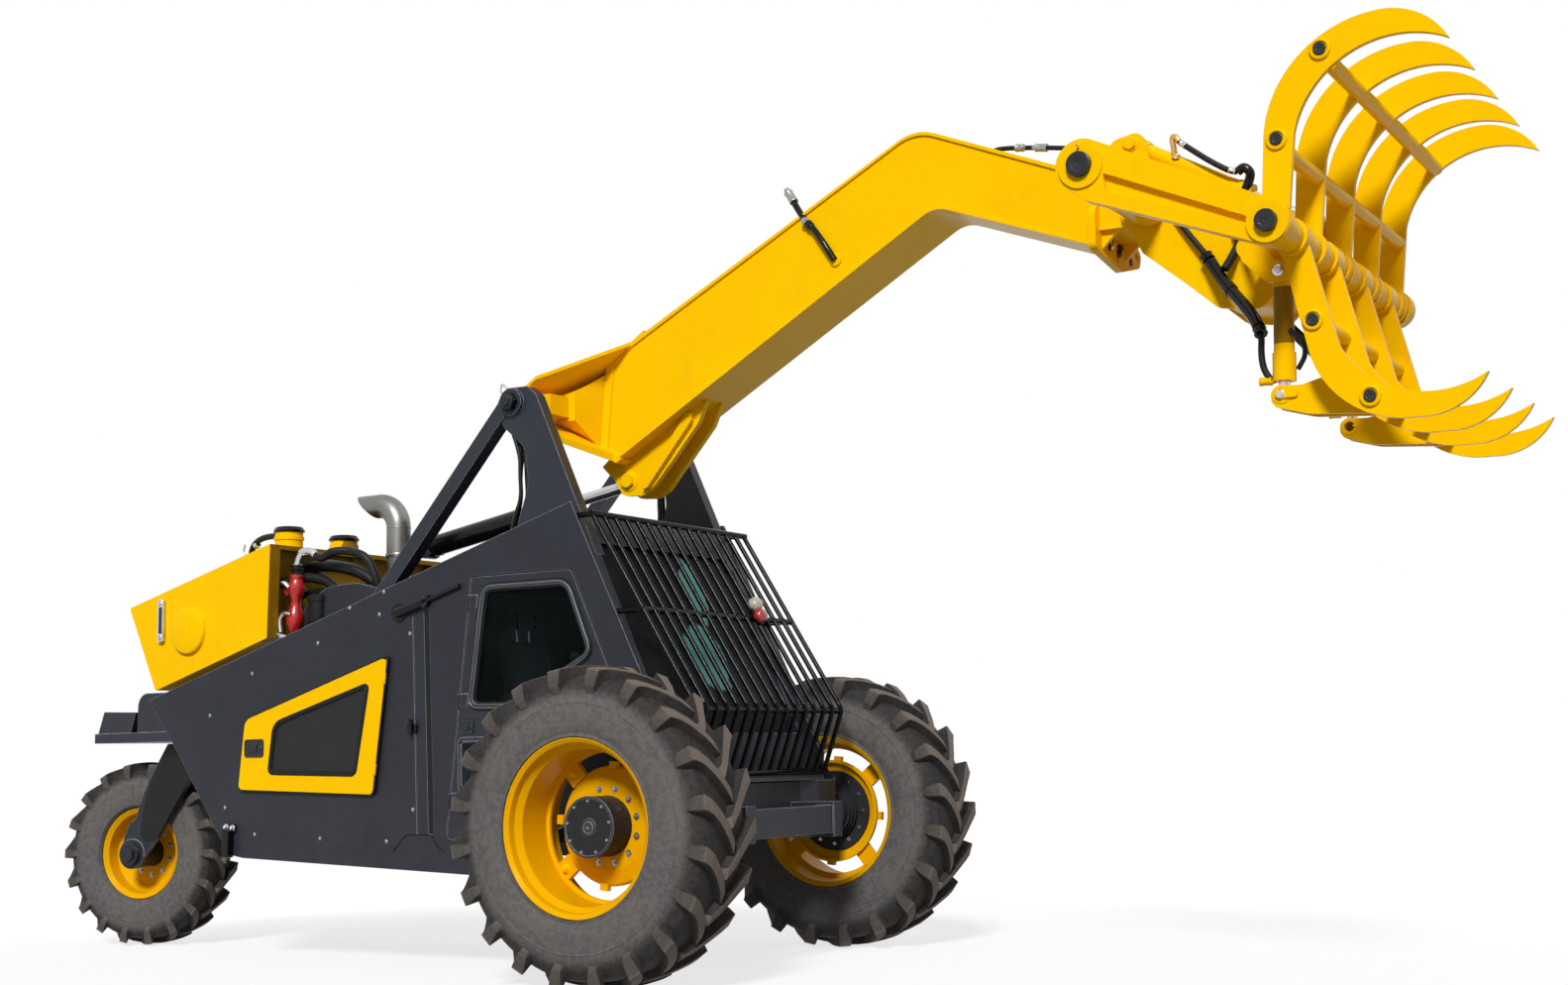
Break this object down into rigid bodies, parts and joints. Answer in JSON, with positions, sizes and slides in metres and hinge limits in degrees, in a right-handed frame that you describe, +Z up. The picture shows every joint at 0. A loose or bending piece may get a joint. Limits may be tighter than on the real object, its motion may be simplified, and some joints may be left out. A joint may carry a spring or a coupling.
{
  "type": "three-wheeled sugarcane loader",
  "caption": "Three-wheeled cane loader with a cab between raked side sheets, a bent lift boom over it and a tined grab with side links at its nose.",
  "frame": {"origin": "on the floor, in the middle of the machine's length and width", "axes": "+X forwards, +Y to the machine's left, +Z up"},
  "size_m": [9.6876, 3.018, 4.5382],
  "materials": {
    "body": "dark grey satin paint",
    "yellow": "glossy yellow paint",
    "black_steel": "black gloss paint",
    "tyre": "dusty rubber",
    "glass": "tinted",
    "pin": "dark oiled steel",
    "engine": "cast block",
    "seat": "dark cloth over foam",
    "plastic": "moulded",
    "stack": "heat-dulled",
    "rod": "polished",
    "interior": "dark interior paint"
  },
  "bodies": {
    "chassis": {"frame": "body", "front_axle": "body", "rear_head": "body", "left_side_sheet": "body", "right_side_sheet": "body", "towers": "body", "boom_pin": "pin", "cab_shell": "body", "windscreen": "glass", "cab_seat": "seat", "seat_base": "interior", "steering_column": "plastic", "consoles": "plastic", "front_guard": "black_steel", "engine": "engine", "engine_cover": "body", "tank": "yellow", "exhaust": "stack"},
    "left_front_wheel": {"left_front_tyre": "tyre", "left_front_rim": "yellow"},
    "right_front_wheel": {"right_front_tyre": "tyre", "right_front_rim": "yellow"},
    "rear_fork": {"rear_fork": "body"},
    "rear_wheel": {"rear_tyre": "tyre", "rear_rim": "yellow"},
    "boom": {"boom": "yellow"},
    "lift_barrel": {"lift_barrel": "black_steel"},
    "lift_rod": {"lift_rod": "rod"},
    "grab_arm": {"grab_arm": "yellow", "side_links": "yellow", "link_pins": "pin", "upper_jaw": "yellow"},
    "tilt_barrel": {"tilt_barrel": "yellow"},
    "tilt_rod": {"tilt_rod": "rod"},
    "lower_jaw": {"lower_jaw": "yellow"},
    "left_grab_barrel": {"left_grab_barrel": "yellow"},
    "left_grab_rod": {"left_grab_rod": "rod"},
    "right_grab_barrel": {"right_grab_barrel": "yellow"},
    "right_grab_rod": {"right_grab_rod": "rod"},
    "left_door": {"left_door": "body", "left_door_glass": "glass"},
    "right_door": {"right_door": "body", "right_door_glass": "glass"},
    "left_vent_lid": {"left_vent_lid": "yellow"},
    "right_vent_lid": {"right_vent_lid": "yellow"}
  },
  "joints": [
    {"name": "left_front_wheel_spin", "type": "hinge", "parent": "chassis", "child": "left_front_wheel", "pos_m": [0.41, 1.275, 0.825], "axis": [0, 1, 0], "continuous": true},
    {"name": "right_front_wheel_spin", "type": "hinge", "parent": "chassis", "child": "right_front_wheel", "pos_m": [0.41, -1.275, 0.825], "axis": [0, 1, 0], "continuous": true},
    {"name": "rear_steering", "type": "hinge", "parent": "chassis", "child": "rear_fork", "pos_m": [-3.82, 0, 1.38], "axis": [0, 0, 1], "range_deg": [-71, 49]},
    {"name": "rear_wheel_spin", "type": "hinge", "parent": "rear_fork", "child": "rear_wheel", "pos_m": [-4.23228, -0.08014, 0.61], "axis": [-0.1908, 0.9816, 0], "continuous": true},
    {"name": "boom_lift", "type": "hinge", "parent": "chassis", "child": "boom", "pos_m": [-0.575, 0, 3.224], "axis": [0, -1, 0], "range_deg": [-36, 10]},
    {"name": "lift_barrel_pivot", "type": "hinge", "parent": "chassis", "child": "lift_barrel", "pos_m": [-1.84, 0, 2.528], "axis": [0, -1, 0], "range_deg": [-4.78, 1.69]},
    {"name": "lift_rod_slide", "type": "slide", "parent": "lift_barrel", "child": "lift_rod", "axis": [0.9861, 0, 0.1663], "range_m": [-0.3256, 0.0919]},
    {"name": "grab_tilt", "type": "hinge", "parent": "boom", "child": "grab_arm", "pos_m": [3.14, 0, 3.895], "axis": [0, -1, 0], "range_deg": [-20, 30]},
    {"name": "tilt_barrel_pivot", "type": "hinge", "parent": "boom", "child": "tilt_barrel", "pos_m": [3, 0, 4.292], "axis": [0, -1, 0], "range_deg": [-14.54, 21.56]},
    {"name": "tilt_rod_slide", "type": "slide", "parent": "tilt_barrel", "child": "tilt_rod", "axis": [0.865, 0, -0.5017], "range_m": [-0.1538, 0.1032]},
    {"name": "lower_jaw_close", "type": "hinge", "parent": "grab_arm", "child": "lower_jaw", "pos_m": [4.019, 0, 3.485], "axis": [0, -1, 0], "range_deg": [0, 75]},
    {"name": "left_grab_barrel_pivot", "type": "hinge", "parent": "grab_arm", "child": "left_grab_barrel", "pos_m": [3.915, 0.58, 3.37], "axis": [0, -1, 0], "range_deg": [-0.1, 80.41]},
    {"name": "left_grab_rod_slide", "type": "slide", "parent": "left_grab_barrel", "child": "left_grab_rod", "axis": [-0.0427, 0, -0.9991], "range_m": [-0.0004, 0.1813]},
    {"name": "left_door_swing", "type": "hinge", "parent": "chassis", "child": "left_door", "pos_m": [-0.923, 0.81, 1.483], "axis": [0.124, 0, 0.9923], "range_deg": [0, 85]},
    {"name": "left_vent_lid_swing", "type": "hinge", "parent": "chassis", "child": "left_vent_lid", "pos_m": [-1.505, 0.825, 1.394], "axis": [-0.1362, 0, -0.9907], "range_deg": [0, 100]},
    {"name": "right_grab_barrel_pivot", "type": "hinge", "parent": "grab_arm", "child": "right_grab_barrel", "pos_m": [3.915, -0.58, 3.37], "axis": [0, -1, 0], "range_deg": [-0.1, 80.41]},
    {"name": "right_grab_rod_slide", "type": "slide", "parent": "right_grab_barrel", "child": "right_grab_rod", "axis": [-0.0427, 0, -0.9991], "range_m": [-0.0004, 0.1813]},
    {"name": "right_door_swing", "type": "hinge", "parent": "chassis", "child": "right_door", "pos_m": [-0.923, -0.81, 1.483], "axis": [-0.124, 0, -0.9923], "range_deg": [0, 85]},
    {"name": "right_vent_lid_swing", "type": "hinge", "parent": "chassis", "child": "right_vent_lid", "pos_m": [-1.505, -0.825, 1.394], "axis": [0.1362, 0, 0.9907], "range_deg": [0, 100]}
  ],
  "couplings": [
    {"joint": "lift_barrel_pivot", "follows": "boom_lift", "ratio": 0.119},
    {"joint": "lift_rod_slide", "follows": "boom_lift", "m_per_rad": 0.51495},
    {"joint": "tilt_barrel_pivot", "follows": "grab_tilt", "ratio": 0.7021},
    {"joint": "tilt_rod_slide", "follows": "grab_tilt", "m_per_rad": -0.28998},
    {"joint": "left_grab_barrel_pivot", "follows": "lower_jaw_close", "ratio": 1.0654},
    {"joint": "left_grab_rod_slide", "follows": "lower_jaw_close", "m_per_rad": 0.137},
    {"joint": "right_grab_barrel_pivot", "follows": "lower_jaw_close", "ratio": 1.0654},
    {"joint": "right_grab_rod_slide", "follows": "lower_jaw_close", "m_per_rad": 0.137}
  ]
}
